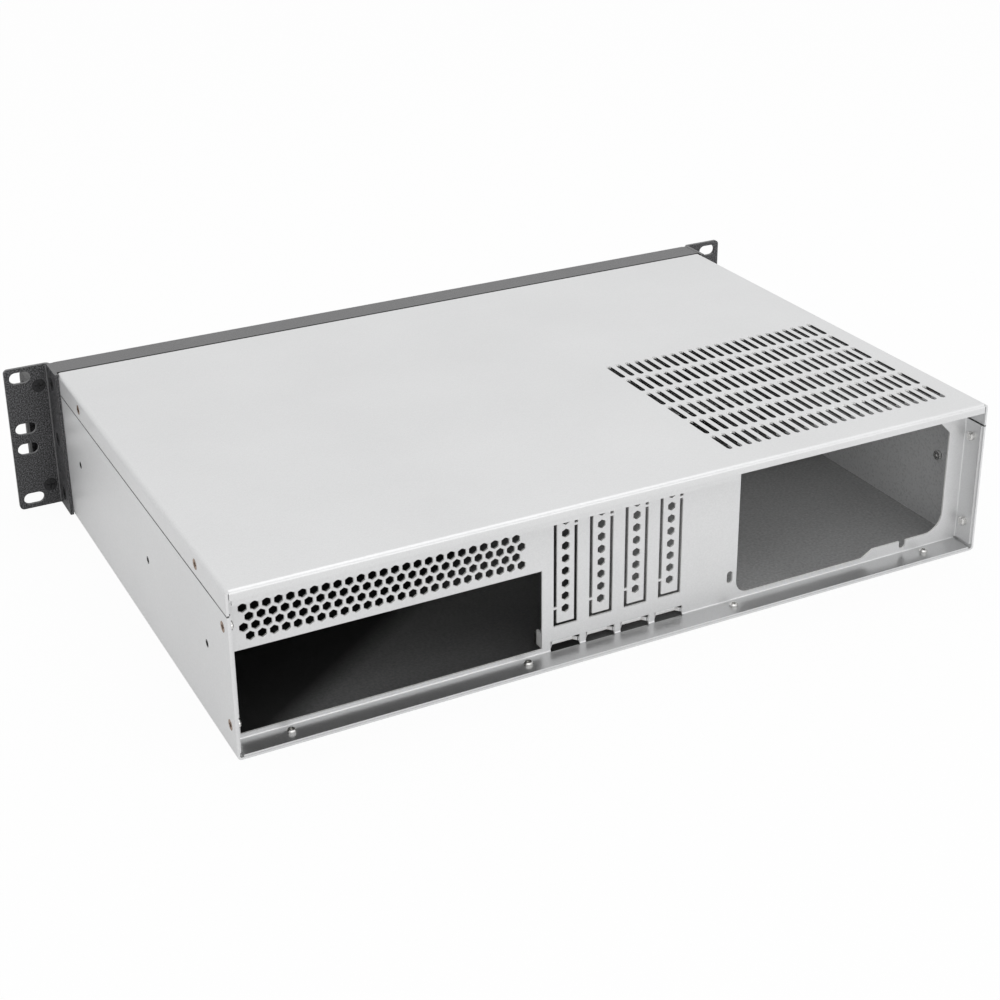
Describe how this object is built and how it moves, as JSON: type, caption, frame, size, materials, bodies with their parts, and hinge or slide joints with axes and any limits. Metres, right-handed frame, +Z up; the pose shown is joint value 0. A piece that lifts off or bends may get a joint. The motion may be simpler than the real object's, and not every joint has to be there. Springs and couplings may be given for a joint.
{
  "type": "rackmount server case",
  "caption": "Empty low rackmount computer case: zinc-plated box with a slotted top vent, open rear bays and punched card covers, black front with rack ears and handles.",
  "frame": {"origin": "under the middle of the whole case, handles included, at the height of its underside", "axes": "+X to the right seen from the front, +Y from the front towards the rear, +Z up"},
  "size_m": [0.4826, 0.328, 0.0881],
  "materials": {
    "zinc_steel": "satin zinc-plated sheet steel",
    "black_paint": "fine-textured black powder coat",
    "black_handle": "black coated",
    "black_screw": "black oxide",
    "bronze_screw": "dark bronze plating",
    "bright_steel": "bright nickel plating",
    "brass_post": "turned",
    "board_green": "solder mask",
    "black_plastic": "moulded",
    "button_black": "moulded",
    "green_lens": "tinted clear",
    "red_lens": "tinted clear",
    "white_plastic": "moulded"
  },
  "bodies": {
    "case": {"base_tray": "zinc_steel", "rear_panel": "zinc_steel", "top_cover": "zinc_steel", "front_panel": "black_paint", "right_ear": "black_paint", "left_ear": "black_paint", "right_handle": "black_handle", "left_handle": "black_handle", "handle_screws": "black_screw", "ear_screws": "black_screw", "cover_screws": "bronze_screw", "rear_side_screws": "bronze_screw", "rear_side_nuts": "bright_steel", "rail_nuts": "bright_steel", "rear_floor_screws": "bright_steel", "board_standoffs": "brass_post", "drive_bracket": "zinc_steel", "bracket_screws": "bright_steel", "board_spacers": "brass_post", "control_board": "board_green", "board_screws": "bright_steel", "power_switch": "black_plastic", "reset_switch": "black_plastic", "power_light": "green_lens", "drive_light": "red_lens", "usb_ports": "bright_steel", "usb_tongues": "white_plastic"},
    "power_button_body": {"power_button": "button_black"},
    "reset_button_body": {"reset_button": "button_black"}
  },
  "joints": [
    {"name": "power_press", "type": "slide", "parent": "case", "child": "power_button_body", "axis": [0, 1, 0], "range_m": [0, 0.0018], "stiffness_N_per_m": 500, "springref_m": -0.0005},
    {"name": "reset_press", "type": "slide", "parent": "case", "child": "reset_button_body", "axis": [0, 1, 0], "range_m": [0, 0.0018], "stiffness_N_per_m": 500, "springref_m": -0.0005}
  ]
}
